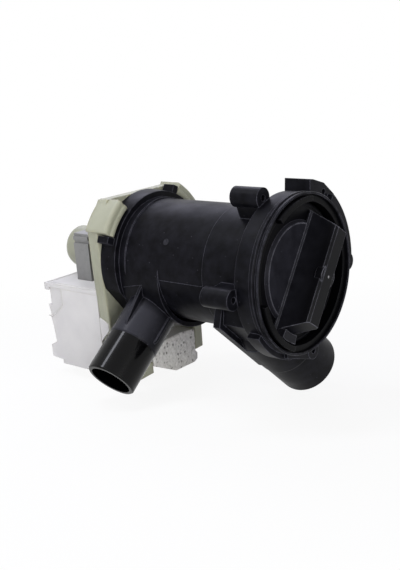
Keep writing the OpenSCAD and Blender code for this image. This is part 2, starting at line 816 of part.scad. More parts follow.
// Stop buffers: two rubber pads on the impeller's inner stop
module stop_buffers() {
    color(soft_rubber) for (a = [stop_angle - stop_half - buffer_span, stop_angle + stop_half])
        sector(buffer_in_r, drum_in_r, dog_y, dog_y + dog_len, a, a + buffer_span);
}

// Stator core: a U of laminations whose poles hug the rotor can
module stator_core() {
    color(sheet_steel) in_motor() slab(core_y, core_y + core_t) difference() {
        translate([-core_w / 2, -core_drop]) square([core_w, core_drop + core_top]);
        translate([-leg_in, yoke_h - core_drop]) square([2 * leg_in, core_drop + core_top]);
        circle(r = core_bore_r);
        for (side = [0, 1], g = pole_grooves)
            mirror([side, 0]) translate([core_w / 2 - pole_groove_depth, core_top - g[1]])
                square([pole_groove_depth + 1, g[1] - g[0]]);
    }
}

// A rectangle about the right leg of the core, grown by a margin
module leg_rect(margin) {
    translate([leg_in - margin, -core_y - core_t - margin])
        square([leg_w + 2 * margin, core_t + 2 * margin]);
}

// The same rectangle with round corners
module leg_pad(margin, r) {
    translate([leg_in - margin, -core_y - core_t - margin]) {
        translate([r, 0]) square([leg_w + 2 * margin - 2 * r, core_t + 2 * margin]);
        translate([0, r]) square([leg_w + 2 * margin, core_t + 2 * margin - 2 * r]);
        for (x = [r, leg_w + 2 * margin - r], y = [r, core_t + 2 * margin - r])
            translate([x, y]) circle(r = r);
    }
}

// Draws an outline of x and y downwards, between two heights
module upright(low, high) translate([0, 0, low]) linear_extrude(high - low) mirror([0, 1]) children();

// A bobbin on the right leg: a square tube with a lid that closes the coil cover and a lower flange
module bobbin() {
    color(coil_white) in_motor() difference() {
        union() {
            translate([bobbin_gap, cover_front_y, -cover_top])
                cube([cover_w / 2 - bobbin_gap, cover_back_y - cover_front_y, bobbin_flange_t]);
            translate([bobbin_gap, cover_back_y - cover_back_steps[0][0] + fit_gap, -cover_top - lid_lip])
                cube([cover_w / 2 - bobbin_gap, cover_back_steps[0][0] - fit_gap, lid_lip + 1]);
            upright(-bobbin_drop, -cover_top + 1) leg_rect(fit_gap + bobbin_wall);
            upright(-bobbin_drop, bobbin_low_t - bobbin_drop) leg_rect(fit_gap + bobbin_wall + coil_t);
        }
        upright(-bobbin_drop - 1, bobbin_flange_t) leg_rect(fit_gap);
        rod(core_bore_r, cover_front_y - 1, cover_back_y + 1);
        translate([cover_w / 2 - lid_hole_in, cover_back_y - lid_hole_in,
            bobbin_flange_t - cover_top - lid_hole_depth])
            cylinder(d = lid_hole_d, h = lid_hole_depth + 1);
        children();
    }
}

module right_bobbin() bobbin() terminal_blades(fit_gap / 3);
module left_bobbin() mirror_motor() bobbin();

// Mirrors across the motor's own upright plane
module mirror_motor() in_motor() mirror([1, 0, 0]) clock(-motor_roll) children();

// A winding between the bobbin's flanges
module winding() {
    color([0.62, 0.33, 0.16]) in_motor() upright(bobbin_low_t - bobbin_drop, -cover_top) difference() {
        leg_pad(fit_gap + bobbin_wall + coil_t - 0.4, coil_round);
        leg_rect(fit_gap + bobbin_wall);
    }
}

module right_winding() winding();
module left_winding() mirror_motor() winding();

// Side outline of the coil cover, with the steps down its back: places along the pump and heights
function cover_side() = [[cover_front_y, -cover_top], [cover_front_y, -cover_drop],
    [cover_back_y - cover_back_steps[6][0], -cover_drop],
    for (i = [6:-1:0]) [cover_back_y - cover_back_steps[i][0], -cover_back_steps[i][1]],
    [cover_back_y - cover_back_steps[0][0], -cover_top]];

// An outline of places along the pump and heights, drawn across the motor
module across(from, to) translate([from, 0, 0]) rotate([90, 0, 90]) linear_extrude(to - from) children();

// Coil cover: a white tub over both coils, with a stepped back, a keel and a nose below the pump chamber
module coil_cover() {
    half = cover_w / 2;
    color(coil_white) in_motor() difference() {
        union() {
            across(-half, half) polygon(cover_side());
            translate([-keel_w / 2, cover_front_y, -keel_drop])
                cube([keel_w, keel_len, keel_drop - cover_drop + 1]);
            slab(nose_front_y, cover_front_y + cover_wall / 2) polygon(nose);
        }
        translate([cover_wall - half, cover_front_y + cover_wall, cover_wall - cover_drop])
            cube([cover_w - 2 * cover_wall, cover_back_y - cover_waist_in - cover_front_y - 2 * cover_wall,
                cover_drop]);
        translate([cover_wall - keel_w / 2, cover_front_y + cover_wall, cover_wall - keel_drop])
            cube([keel_w - 2 * cover_wall, keel_len - 2 * cover_wall, keel_drop - cover_drop + cover_wall]);
        across(-half - 1, panel_depth - half) translate([cover_back_y, 0]) polygon(panel);
        terminal_blades(fit_gap);
    }
}

// The two blades' own shape, with a gap round them for their slots
module terminal_blades(gap) {
    for (side = [-1, 1])
        translate([tab_start - gap, core_mid_y + side * tab_pitch / 2 - tab_w / 2 - gap,
            -cover_top + bobbin_flange_t / 2 - tab_t / 2 - gap])
            cube([tab_len + gap, tab_w + 2 * gap, tab_t + 2 * gap]);
}

// Terminal tabs: two blades in the right bobbin's lid, for a push-on plug
module terminal_tabs() color("silver") in_motor() terminal_blades(0);

// Thermal cutout: a flat capsule against the front of the right winding
module thermal_cutout() {
    color("saddlebrown") in_motor()
        translate([leg_in + leg_w / 2 - cutout_size[0] / 2,
            core_y - fit_gap - bobbin_wall - coil_t - cutout_size[1], -cutout_low])
            cube(cutout_size);
}

filter_housing();
filter_cap();
cap_seal();
lint_filter();
motor_plate();
pump_seal();
bearing_cap();
shaft_seal();
front_bush();
front_bush_ring();
rear_bush();
rear_bush_ring();
thrust_washers();
rotor_shaft();
rotor_hub();
rotor_magnet();
drive_dog();
impeller();
impeller_cover();
stop_buffers();
stator_core();
left_bobbin();
right_bobbin();
left_winding();
right_winding();
coil_cover();
terminal_tabs();
thermal_cutout();
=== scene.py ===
import json
from math import cos, pi, radians, sin

import bmesh
import bpy
from mathutils import Matrix, Vector, noise

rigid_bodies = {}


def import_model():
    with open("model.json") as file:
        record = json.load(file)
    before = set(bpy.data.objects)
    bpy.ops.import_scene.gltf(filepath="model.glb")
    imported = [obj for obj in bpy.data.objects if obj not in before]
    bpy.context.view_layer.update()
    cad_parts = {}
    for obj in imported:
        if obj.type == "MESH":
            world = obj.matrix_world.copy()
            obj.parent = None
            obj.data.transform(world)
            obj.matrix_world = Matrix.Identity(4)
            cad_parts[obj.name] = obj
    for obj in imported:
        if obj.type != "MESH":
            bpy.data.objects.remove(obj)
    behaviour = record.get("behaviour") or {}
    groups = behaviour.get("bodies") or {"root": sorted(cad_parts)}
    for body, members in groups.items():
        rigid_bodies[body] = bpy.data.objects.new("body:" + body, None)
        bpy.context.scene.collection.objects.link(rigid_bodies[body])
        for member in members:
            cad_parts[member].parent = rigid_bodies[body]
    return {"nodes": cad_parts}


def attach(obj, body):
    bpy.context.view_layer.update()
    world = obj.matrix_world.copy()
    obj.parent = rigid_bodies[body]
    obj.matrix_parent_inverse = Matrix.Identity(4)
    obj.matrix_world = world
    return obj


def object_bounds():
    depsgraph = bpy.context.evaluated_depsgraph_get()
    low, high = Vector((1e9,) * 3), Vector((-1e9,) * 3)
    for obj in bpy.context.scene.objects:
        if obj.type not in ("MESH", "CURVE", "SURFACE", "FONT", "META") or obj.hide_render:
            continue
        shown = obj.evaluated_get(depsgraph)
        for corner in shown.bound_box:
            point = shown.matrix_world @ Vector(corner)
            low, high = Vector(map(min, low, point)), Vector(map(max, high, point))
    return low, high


for leftover in list(bpy.data.objects):
    bpy.data.objects.remove(leftover)
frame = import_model()
cad_low, cad_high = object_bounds()
node = frame["nodes"]


# Filter housing: the one large moulding that holds the filter tube, collar, pipes and pump chamber.
# It is talc-filled polypropylene, injection moulded in black, so it shows a satin skin with a slight
# cloud in its shine, a fine spark-eroded grain, a little dust and edges that the tool left slightly round.
mm = 0.001
# Most of a noise texture's values lie between these two.
noise_low, noise_high = 0.3, 0.7


def linear(code):
    """Turns an sRGB hex colour into Blender's linear colour."""
    values = [int(code[i:i + 2], 16) / 255 for i in (1, 3, 5)]
    return [v / 12.92 if v <= 0.04045 else ((v + 0.055) / 1.055) ** 2.4 for v in values] + [1.0]


def add(tree, kind, sockets=None, **settings):
    """Adds a node with its settings, and sets or links its input sockets.

    Map Range reads from 1 to 2 and gives 3 to 4. Mix takes its share at 0 and its colours at 6 and 7.
    """
    new = tree.nodes.new(kind)
    for name, value in settings.items():
        setattr(new, name, value)
    for name, value in (sockets or {}).items():
        if isinstance(value, bpy.types.NodeSocket):
            tree.links.new(value, new.inputs[name])
        else:
            new.inputs[name].default_value = value
    return new


def start_material(name):
    """Starts a material, and gives it with its node tree, its shader and the place on the piece."""
    material = bpy.data.materials.new(name)
    material.use_nodes = True
    tree = material.node_tree
    return material, tree, tree.nodes["Principled BSDF"], add(tree, "ShaderNodeTexCoord").outputs["Object"]


def moulded(name, shade, tint, edge_tint, rough, level, edge=0.5, cloud=14, grain=0.9, depth=0.02,
            round_edge=0.5, dust=None):
    """A moulded plastic: a colour that clouds slightly, a grained skin and soft edges with an uneven tint,
    which stands for wear and, on the black mouldings, for a painted highlight too.

    Cloud, grain, depth and round_edge are in millimetres. The grain is drawn several times as coarse as a
    mould's real one of about 0.1 mm, which would not show.
    """
    material, tree, skin, place = start_material(name)
    clouds = add(tree, "ShaderNodeTexNoise", {"Vector": place, "Scale": 1 / (cloud * mm), "Detail": 6})
    spread = add(tree, "ShaderNodeMapRange", {0: clouds.outputs[0], 1: noise_low, 2: noise_high})
    colour = add(tree, "ShaderNodeMix", {0: spread.outputs[0], 6: linear(shade), 7: linear(tint)},
                 data_type="RGBA")
    if dust:
        speck_gap, speck_core, speck_edge, dust_share = 5, 0.04, 0.075, 0.7
        cells = add(tree, "ShaderNodeTexVoronoi", {"Vector": place, "Scale": 1 / (speck_gap * mm)})
        specks = add(tree, "ShaderNodeMapRange", {0: cells.outputs["Distance"], 1: speck_core, 2: speck_edge,
                                                  3: dust_share, 4: 0.0})
        colour = add(tree, "ShaderNodeMix", {0: specks.outputs[0], 6: colour.outputs[2], 7: linear(dust)},
                     data_type="RGBA")
    soft = add(tree, "ShaderNodeBevel", {"Radius": round_edge * mm}, samples=6)
    flat = add(tree, "ShaderNodeNewGeometry").outputs["True Normal"]
    turn = add(tree, "ShaderNodeVectorMath", {0: soft.outputs[0], 1: flat}, operation="DOT_PRODUCT")
    # The edge tint of wear and painted highlight starts where the softened edge leans 10 degrees from its
    # face, and is full at 28 degrees.
    lean_start, lean_full = 0.985, 0.88
    bend = add(tree, "ShaderNodeMapRange", {0: turn.outputs["Value"], 1: lean_start, 2: lean_full, 3: 0.0,
                                            4: edge})
    least_tint_from, full_tint_from, least_edge_tint = 0.35, 0.6, 0.35
    uneven = add(tree, "ShaderNodeMapRange", {0: clouds.outputs[0], 1: least_tint_from, 2: full_tint_from,
                                              3: least_edge_tint, 4: 1.0})
    wear_and_highlight = add(tree, "ShaderNodeMath", {0: bend.outputs[0], 1: uneven.outputs[0]}, operation="MULTIPLY")
    worn_and_highlit = add(tree, "ShaderNodeMix", {0: wear_and_highlight.outputs[0], 6: colour.outputs[2], 7: linear(edge_tint)},
               data_type="RGBA")
    patch, rough_change = 2.6 * cloud, 0.07
    patches = add(tree, "ShaderNodeTexNoise", {"Vector": place, "Scale": 1 / (patch * mm), "Detail": 6})
    shine = add(tree, "ShaderNodeMapRange", {0: patches.outputs[0], 1: noise_low, 2: noise_high,
                                             3: rough - rough_change, 4: rough + rough_change})
    pits = add(tree, "ShaderNodeTexNoise", {"Vector": place, "Scale": 1 / (grain * mm), "Detail": 2})
    relief = add(tree, "ShaderNodeBump", {"Height": pits.outputs[0], "Distance": depth * mm, "Strength": 0.6,
                                          "Normal": soft.outputs[0]})
    tree.links.new(worn_and_highlit.outputs[2], skin.inputs["Base Color"])
    tree.links.new(shine.outputs[0], skin.inputs["Roughness"])
    tree.links.new(relief.outputs[0], skin.inputs["Normal"])
    skin.inputs["Specular IOR Level"].default_value = level
    skin.inputs["IOR"].default_value = 1.49
    return material


def finish(material, *names):
    """Gives CAD nodes their material."""
    for name in names:
        mesh = node[name].data
        mesh.materials.clear()
        mesh.materials.append(material)


# Its edges are tinted pale, as wear and as a painted highlight.
black_polypropylene = moulded("black_polypropylene", "#08080b", "#16161b", "#5c5c66", rough=0.4, level=0.05,
                              edge=0.9, cloud=6, round_edge=0.7, dust="#4a4a50")
finish(black_polypropylene, "filter_housing")


# The outlet's plain end: the core pin and its sleeve were polished there, so that the hose seals.
# It is the same moulding with a mirror skin, which starts at a sharp line across the pipe. The rest of the
# pipe is smoother than the tube, and its upper side is painted lighter, as a painted highlight.
def fed_by(socket):
    """The output that a linked socket takes its value from."""
    return socket.links[0].from_socket


outlet_angle = radians(224.3)
polish_start, polish_blur = 67, 0.2
branch_start, branch_full = 42, 48
rear_start, rear_full = 62, 70
coat, coat_rough, coat_ior, smoother_by = 0.2, 0.06, 1.5, 0.16
side_up, top_up, side_pale, top_pale = -0.1, 0.7, 0.1, 0.95
tree = black_polypropylene.node_tree
skin = tree.nodes["Principled BSDF"]
place = add(tree, "ShaderNodeTexCoord").outputs["Object"]
along = add(tree, "ShaderNodeVectorMath", {0: place, 1: (cos(outlet_angle), 0, sin(outlet_angle))},
            operation="DOT_PRODUCT").outputs["Value"]
polish = add(tree, "ShaderNodeMapRange", {0: along, 1: (polish_start - polish_blur) * mm,
                                          2: (polish_start + polish_blur) * mm})
gloss = add(tree, "ShaderNodeMath", {0: polish.outputs[0], 1: coat}, operation="MULTIPLY")
tree.links.new(gloss.outputs[0], skin.inputs["Coat Weight"])
skin.inputs["Coat Roughness"].default_value = coat_rough
skin.inputs["Coat IOR"].default_value = coat_ior
lengthways = add(tree, "ShaderNodeSeparateXYZ", {0: place}).outputs["Y"]
rear = add(tree, "ShaderNodeMapRange", {0: lengthways, 1: rear_start * mm, 2: rear_full * mm})
branch = add(tree, "ShaderNodeMapRange", {0: along, 1: branch_start * mm, 2: branch_full * mm})
pipe = add(tree, "ShaderNodeMath", {0: branch.outputs[0], 1: rear.outputs[0]}, operation="MULTIPLY")
smoother = add(tree, "ShaderNodeMath", {0: pipe.outputs[0], 1: smoother_by}, operation="MULTIPLY")
satin = add(tree, "ShaderNodeMath", {0: fed_by(skin.inputs["Roughness"]), 1: smoother.outputs[0]},
            operation="SUBTRACT")
tree.links.new(satin.outputs[0], skin.inputs["Roughness"])
unpolished = add(tree, "ShaderNodeMath", {0: pipe.outputs[0], 1: polish.outputs[0]}, operation="SUBTRACT",
                 use_clamp=True)
# Painted highlight: the pipe is painted lighter the more its side faces up.
facing = add(tree, "ShaderNodeSeparateXYZ", {0: add(tree, "ShaderNodeNewGeometry").outputs["Normal"]})
upper = add(tree, "ShaderNodeMapRange", {0: facing.outputs["Z"], 1: side_up, 2: top_up, 3: side_pale,
                                         4: top_pale})
painted_highlight = add(tree, "ShaderNodeMath", {0: unpolished.outputs[0], 1: upper.outputs[0]}, operation="MULTIPLY")
highlit_pipe = add(tree, "ShaderNodeMix", {0: painted_highlight.outputs[0], 6: fed_by(skin.inputs["Base Color"]),
                                        7: linear("#38383e")}, data_type="RGBA")


# The seat inside the collar's lip: a dark recess between the lip's wall and the cap. From the lip's rim
# inwards its skin is painted a deeper black than the tube's, as painted shade. The outlet's plain end is a
# deeper black too.
def axis_reach(tree, place):
    """How far a place is from the pump axis."""
    crosswise = add(tree, "ShaderNodeVectorMath", {0: place, 1: (1, 0, 1)}, operation="MULTIPLY")
    return add(tree, "ShaderNodeVectorMath", {0: crosswise.outputs[0]}, operation="LENGTH").outputs["Value"]


seat_in, seat_out, seat_front, seat_back = 47.2, 47.7, -5, 5
painted_shade_depth = 0.9
deep_black = linear("#020203")
# Painted shade in the seat, from the lip's rim inwards.
inside = add(tree, "ShaderNodeMapRange", {0: axis_reach(tree, place), 1: seat_in * mm, 2: seat_out * mm,
                                          3: painted_shade_depth, 4: 0.0})
fore = add(tree, "ShaderNodeMapRange", {0: lengthways, 1: seat_front * mm, 2: seat_back * mm, 3: 1.0, 4: 0.0})
seat = add(tree, "ShaderNodeMath", {0: fore.outputs[0], 1: inside.outputs[0]}, operation="MULTIPLY")
deepest = add(tree, "ShaderNodeMath", {0: seat.outputs[0], 1: polish.outputs[0]}, operation="MAXIMUM")
housing_black = add(tree, "ShaderNodeMix", {0: deepest.outputs[0], 6: highlit_pipe.outputs[2], 7: deep_black},
                    data_type="RGBA")
tree.links.new(housing_black.outputs[2], skin.inputs["Base Color"])


# Mould marks on the housing: the fine raised lines where the halves and the cores of the tool met,
# and the flat round mark of a pin that pushed the moulding out. They are part of its skin.
def around(angle, radius, y):
    """A point at a clock angle and radius about the pump axis."""
    return Vector((radius * cos(radians(angle)), y, radius * sin(radians(angle)))) * mm


def lay_bead(shape, points, width, segments=8):
    """Lays a round bead along points on a surface, so that half of it stands out."""
    rings = []
    for i, point in enumerate(points):
        run = points[min(i + 1, len(points) - 1)] - points[max(i - 1, 0)]
        stand = Matrix.Translation(point) @ run.to_track_quat("Z", "Y").to_matrix().to_4x4()
        ring = bmesh.ops.create_circle(shape, cap_ends=i in (0, len(points) - 1), segments=segments,
                                       radius=width / 2 * mm, matrix=stand)["verts"]
        rings.append(list({edge for vert in ring for edge in vert.link_edges}))
    for one, other in zip(rings, rings[1:]):
        bmesh.ops.bridge_loops(shape, edges=one + other)


def settle(name, shape, material, body, sharp=50):
    """Makes a finished bmesh a piece, gives it its material and lets it ride on its body."""
    bmesh.ops.recalc_face_normals(shape, faces=shape.faces)
    for face in shape.faces:
        face.smooth = True
    for edge in shape.edges:
        edge.smooth = edge.calc_face_angle(0) < radians(sharp)
    mesh = bpy.data.meshes.new(name)
    shape.to_mesh(mesh)
    shape.free()
    mesh.materials.append(material)
    piece = bpy.data.objects.new(name, mesh)
    bpy.context.scene.collection.objects.link(piece)
    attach(piece, body)


tube_r, tube_line, tube_line_w = 39, 191.5, 0.4
chamber_line, chamber_turn, chamber_line_w = 198, 4.8, 0.5
chamber_r, chamber_widening, chamber_y, chamber_len = 40.55, 0.48, 84, 17
lines = bmesh.new()
lay_bead(lines, [around(tube_line, tube_r, y) for y in (34, 50, 69)], tube_line_w)
lay_bead(lines, [around(chamber_line + chamber_turn * k, chamber_r + chamber_widening * k,
                        chamber_y + chamber_len * k) for k in (0, 0.25, 0.5, 0.75, 1)], chamber_line_w)
settle("parting_lines", lines, black_polypropylene, "pump")

mark_angle, mark_y, mark_r, mark_edge, mark_step = 155.2, 65.2, 2.1, 0.3, 0.1
mark = bmesh.new()
bmesh.ops.create_circle(mark, cap_ends=True, segments=32, radius=mark_r * mm)
bmesh.ops.inset_region(mark, faces=mark.faces[:], thickness=mark_edge * mm, depth=mark_step * mm)
outwards = around(mark_angle, 1, 0).to_track_quat("Z", "Y").to_matrix().to_4x4()
on_tube = Matrix.Translation(around(mark_angle, tube_r, mark_y)) @ outwards
bmesh.ops.transform(mark, matrix=on_tube, verts=mark.verts)
burnished = moulded("burnished_polypropylene", "#232328", "#2c2c32", "#4c4c56", rough=0.3, level=0.1,
                    cloud=1.5, grain=0.4)
settle("ejector_mark", mark, burnished, "pump")


# Rim of the collar's lip: a thin wall that stands up round the lip's front, so that the cap lies sunk
# behind it. It is moulded with the housing.
def turn_round(profile):
    """Spins a closed profile of radii and places along the pump right round the pump axis."""
    shape = bmesh.new()
    corners = [shape.verts.new(Vector((radius, y, 0)) * mm) for radius, y in profile]
    sides = [shape.edges.new(pair) for pair in zip(corners, corners[1:] + corners[:1])]
    bmesh.ops.spin(shape, geom=corners + sides, cent=(0, 0, 0), axis=(0, 1, 0), angle=2 * pi, steps=128,
                   use_merge=True)
    return shape


lip_r, lip_y, rim_t, rim_h = 49.2, -13.6, 1.7, 2.0
rim_sunk, rim_round, rim_slope, rim_draft = 0.3, 0.4, 0.5, 0.2
rim_profile = ((lip_r - rim_sunk, lip_y + rim_sunk), (lip_r, lip_y - rim_h + rim_slope),
               (lip_r - rim_round, lip_y - rim_h), (lip_r - rim_t + rim_round, lip_y - rim_h),
               (lip_r - rim_t, lip_y - rim_h + rim_round), (lip_r - rim_t - rim_draft, lip_y + rim_sunk))
settle("lip_rim", turn_round(rim_profile), black_polypropylene, "pump", sharp=30)

# Filter cap, its lint cage and the impeller: the same black polypropylene, moulded with a finer skin,
# because hands and lint have to slide over it. The cap screws into the collar by its handle bar.
# Its black is painted lighter than the housing's, as painted light on the cap, and its pale edge tint is a
# painted highlight as well as wear.
fine_polypropylene = moulded("fine_black_polypropylene", "#1a1a1f", "#26262c", "#7c7c86", rough=0.38,
                             level=0.05, edge=0.95, cloud=7, grain=0.6, round_edge=0.8, dust="#4a4a50")
finish(fine_polypropylene, "filter_cap", "lint_filter", "impeller", "impeller_cover")

# Painted shade on the cap: the handle is painted a deeper black towards its ridge, and so is the
# sunk ring round the raised face.
ridge_dark, handle_foot = -26, -12
sunk_r, sunk_full_r, sunk_y, sunk_full_y = 32, 32.4, -8.9, -8.6
tree = fine_polypropylene.node_tree
skin = tree.nodes["Principled BSDF"]
place = add(tree, "ShaderNodeTexCoord").outputs["Object"]
lengthways = add(tree, "ShaderNodeSeparateXYZ", {0: place}).outputs["Y"]
worn_and_highlit = fed_by(skin.inputs["Base Color"])
before_edge_tint = worn_and_highlit.node.inputs[6]
# Painted shade, full at the handle's ridge and gone at its foot.
handle = add(tree, "ShaderNodeMapRange", {0: lengthways, 1: ridge_dark * mm, 2: handle_foot * mm,
                                          3: painted_shade_depth, 4: 0.0})
darker = add(tree, "ShaderNodeMix", {0: handle.outputs[0], 6: fed_by(before_edge_tint), 7: linear("#070709")},
             data_type="RGBA")
tree.links.new(darker.outputs[2], before_edge_tint)
# Painted shade on the sunk ring round the raised face.
outside = add(tree, "ShaderNodeMapRange", {0: axis_reach(tree, place), 1: sunk_r * mm, 2: sunk_full_r * mm,
                                           3: 0.0, 4: painted_shade_depth})
sunk = add(tree, "ShaderNodeMapRange", {0: lengthways, 1: sunk_y * mm, 2: sunk_full_y * mm})
sunk_ring = add(tree, "ShaderNodeMath", {0: outside.outputs[0], 1: sunk.outputs[0]}, operation="MULTIPLY")
cap_black = add(tree, "ShaderNodeMix", {0: sunk_ring.outputs[0], 6: worn_and_highlit, 7: deep_black}, data_type="RGBA")
tree.links.new(cap_black.outputs[2], skin.inputs["Base Color"])

# Shoulder and bead of the cap: the sloping shoulder round the raised face, and a low ring that stiffens the
# flange near its edge. Both are moulded with the cap, and start a little below its skin.
cap_face, cap_sunk = -8, 0.2
raised_r, raised_top = 30.5, -9.85
foot_out, foot_edge, foot_h, crest_in, inner = 1.7, 1.5, 0.1, 0.1, 0.6
shoulder = ((raised_r + foot_out, cap_face + cap_sunk), (raised_r + foot_edge, cap_face - foot_h),
            (raised_r - crest_in, raised_top), (raised_r - inner, raised_top),
            (raised_r - inner, cap_face + cap_sunk))
settle("cap_shoulder", turn_round(shoulder), fine_polypropylene, "cap", sharp=30)
bead_r, bead_h, bead_foot, bead_crown = 41.4, 0.45, 0.7, 0.4
bead = ((bead_r + bead_foot, cap_face + cap_sunk), (bead_r + bead_crown, cap_face - bead_h),
        (bead_r - bead_crown, cap_face - bead_h), (bead_r - bead_foot, cap_face + cap_sunk))
settle("cap_bead", turn_round(bead), fine_polypropylene, "cap", sharp=30)

# Gate mark on the cap: the small pale spot in the middle of the handle's ridge, where the plastic ran in
# and the sprue was broken off. Its pale grey is a painted glint.
gate_y, gate_r, gate_edge, gate_rise = -30.69, 0.8, 0.25, 0.04
painted_glint = moulded("painted_glint_polypropylene", "#77777a", "#8f8f92", "#9a9a9c", rough=0.5, level=0.3,
                   cloud=0.6, grain=0.3)
gate = bmesh.new()
on_ridge = Matrix.Translation((0, gate_y * mm, 0)) @ Matrix.Rotation(pi / 2, 4, "X")
bmesh.ops.create_circle(gate, cap_ends=True, segments=20, radius=gate_r * mm, matrix=on_ridge)
bmesh.ops.inset_region(gate, faces=gate.faces[:], thickness=gate_edge * mm, depth=gate_rise * mm)
settle("gate_mark", gate, painted_glint, "cap")

# Motor plate and bearing cap: the ivory moulding that twists onto the housing and carries the rotor can.
# It is unfilled polypropylene in its natural colour, so light goes a little way in, and its soft edges
# show a slightly warmer tone.
ivory_polypropylene = moulded("natural_polypropylene", "#9b9c89", "#a9aa97", "#b9b497", rough=0.4, level=0.35,
                              cloud=22, grain=1.4, round_edge=2.6)
light_depth = 2.5
skin = ivory_polypropylene.node_tree.nodes["Principled BSDF"]
skin.inputs["Subsurface Weight"].default_value = 0.25
skin.inputs["Subsurface Radius"].default_value = (1.0, 0.95, 0.7)
skin.inputs["Subsurface Scale"].default_value = light_depth * mm
finish(ivory_polypropylene, "motor_plate", "bearing_cap")

# Rolled edges of the plate's hooks: the front of each hook ends in a soft round roll, where it grips the
# housing's flange. The rolls are moulded with the plate.
roll_r, roll_y, roll_w, roll_steps = 46.8, 106.8, 5.5, 9
roll_lead, roll_span = -31.4, 27.8
rolls = bmesh.new()
for lug_angle in (162, 68, -26):
    start = lug_angle + roll_lead
    lay_bead(rolls, [around(start + roll_span * k / roll_steps, roll_r, roll_y)
                     for k in range(roll_steps + 1)], roll_w, segments=20)
settle("hook_rolls", rolls, ivory_polypropylene, "pump")

# Stator core: thin sheets of electrical steel, stamped as a U and stacked along the pump axis.
# The cut edges of the sheets show as fine lines on its sides, under a thin grey bonding varnish.
sheet_t, smear, sheet_edge, sheet_step = 0.65, 3, 0.3, 0.05
seam_w, seam_dark, bare_rough, varnish_rough = 0.35, 0.3, 0.42, 0.6
# A wave texture of scale 1 repeats every 0.314 units.
wave_length = 0.314
core_steel, tree, skin, place = start_material("stamped_laminations")
bands = add(tree, "ShaderNodeTexWave", {"Vector": place, "Scale": wave_length / (sheet_t * mm),
                                        "Distortion": 0.4, "Detail": 1},
            wave_type="BANDS", bands_direction="Y").outputs["Fac"]
smears = add(tree, "ShaderNodeTexNoise", {"Vector": place, "Scale": 1 / (smear * mm), "Detail": 5})
varnish = add(tree, "ShaderNodeMix", {0: smears.outputs[0], 6: linear("#7a7a7a"), 7: linear("#9a9a99")},
              data_type="RGBA")
seams = add(tree, "ShaderNodeMapRange", {0: bands, 1: 0.0, 2: seam_w, 3: seam_dark, 4: 0.0})
cut = add(tree, "ShaderNodeMix", {0: seams.outputs[0], 6: varnish.outputs[2], 7: linear("#4a4a4b")},
          data_type="RGBA")
soft = add(tree, "ShaderNodeBevel", {"Radius": sheet_edge * mm}, samples=6)
relief = add(tree, "ShaderNodeBump", {"Height": bands, "Distance": sheet_step * mm, "Strength": 0.5,
                                      "Normal": soft.outputs[0]})
shine = add(tree, "ShaderNodeMapRange", {0: smears.outputs[0], 1: noise_low, 2: noise_high, 3: bare_rough,
                                         4: varnish_rough})
tree.links.new(cut.outputs[2], skin.inputs["Base Color"])
tree.links.new(shine.outputs[0], skin.inputs["Roughness"])
tree.links.new(relief.outputs[0], skin.inputs["Normal"])
skin.inputs["Metallic"].default_value = 0.55
finish(core_steel, "stator_core")

# Coil cover, bobbins, rotor hub and drive dog: white glass-filled polyester, which stands the heat of the
# windings. It has a dry, even skin that has yellowed a little at the edges, and its tool left no shine.
white_polyester = moulded("white_glass_filled_polyester", "#cfcdcc", "#d8d6d4", "#cfc9b8", rough=0.55,
                          level=0.4, cloud=18, grain=0.7, round_edge=0.8)
finish(white_polyester, "coil_cover", "left_bobbin", "right_bobbin", "rotor_hub", "drive_dog")

# Beads and latches of the coil cover: the rims that stiffen the two lids and the sunk side panel, and the
# flat latches at the front, which snap over the motor plate's rim. All are moulded with their piece.
motor_roll = radians(6)


def in_motor(x, y, z):
    """A point in the motor's own frame, which is rolled a little about the pump axis."""
    rolled_x = x * cos(motor_roll) - z * sin(motor_roll)
    rolled_z = x * sin(motor_roll) + z * cos(motor_roll)
    return Vector((rolled_x, y, rolled_z)) * mm


cover_half, lid_top, lid_front, cover_back = 42, -17, 125.5, 178
rim_in, rim_w, rim_corner, lid_gap = 2.4, 0.9, 1, 2
panel_edge = ((161, -20.5), (161, -31.8), (171.8, -41), (176.5, -41))
rim_back = cover_back - rim_in
rims = bmesh.new()
for side in (-1, 1):
    outer = side * (cover_half - rim_in)
    lid_edge = ((outer, lid_front), (outer, rim_back - rim_corner), (outer - side * rim_corner, rim_back),
                (side * lid_gap, rim_back))
    lay_bead(rims, [in_motor(x, y, lid_top) for x, y in lid_edge], rim_w)
lay_bead(rims, [in_motor(-cover_half, y, z) for y, z in panel_edge], rim_w)
settle("cover_rims", rims, white_polyester, "pump")

latch_in, latch_t, latch_round = 41.1, 0.95, 0.3
latch_outline = ((124.4, -35.2), (116.2, -38.6), (116.2, -43.8), (124.4, -52))
latches = bmesh.new()
for side in (-1, 1):
    corners = [latches.verts.new(in_motor(side * latch_in, y, z)) for y, z in latch_outline]
    plate = latches.faces.new(corners)
    grown = bmesh.ops.extrude_face_region(latches, geom=[plate])["geom"]
    outer_verts = [item for item in grown if isinstance(item, bmesh.types.BMVert)]
    bmesh.ops.translate(latches, verts=outer_verts, vec=in_motor(side * latch_t, 0, 0))
bmesh.ops.bevel(latches, geom=latches.edges[:], offset=latch_round * mm, segments=2, profile=0.5,
                affect="EDGES", material=-1, clamp_overlap=True)
settle("cover_latches", latches, white_polyester, "pump", sharp=20)

